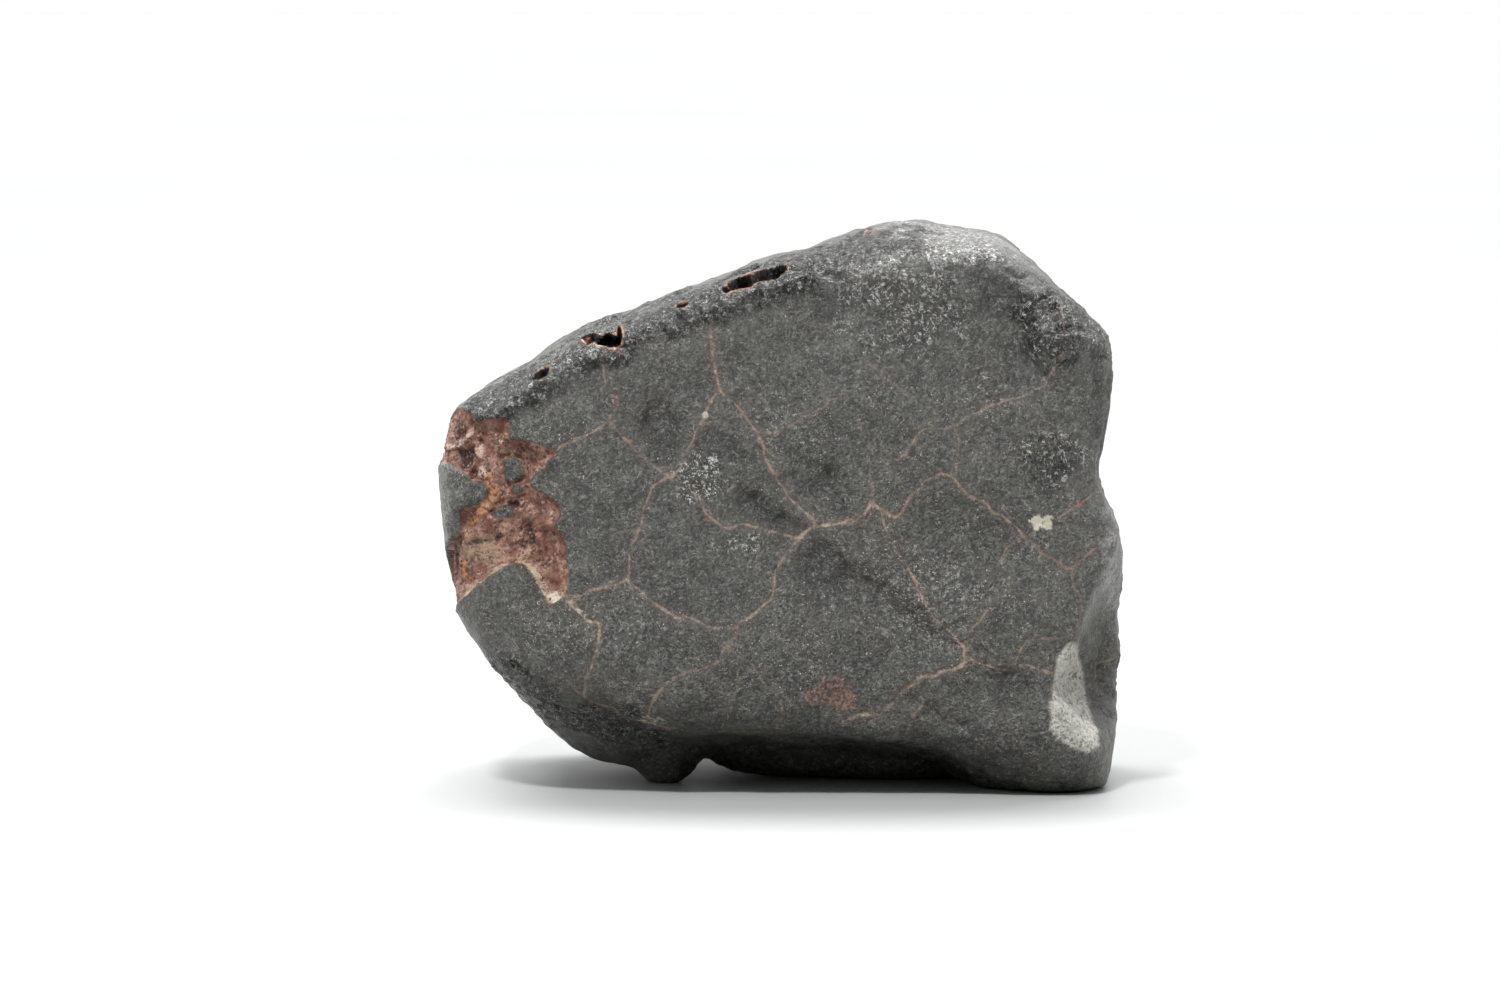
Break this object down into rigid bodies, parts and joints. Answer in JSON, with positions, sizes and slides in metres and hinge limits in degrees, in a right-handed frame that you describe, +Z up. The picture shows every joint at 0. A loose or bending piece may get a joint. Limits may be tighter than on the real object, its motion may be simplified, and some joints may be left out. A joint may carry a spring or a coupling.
{
  "type": "meteorite",
  "caption": "Blocky stony meteorite with a dark cracked fusion crust, a rusty broken patch, thumbprints and low feet to rest on.",
  "frame": {"origin": "middle of the bounding box at ground level, under the resting stone", "axes": "+X to the right along the broad front face, -Y the way the front face looks, +Z up"},
  "size_m": [0.0446, 0.0284, 0.0365],
  "materials": {
    "crust": "dark weathered fusion crust with a dull to greasy sheen, rust stained cracks and a broken patch of rusty stone"
  },
  "bodies": {
    "root": {"meteorite": "crust"}
  },
  "joints": []
}
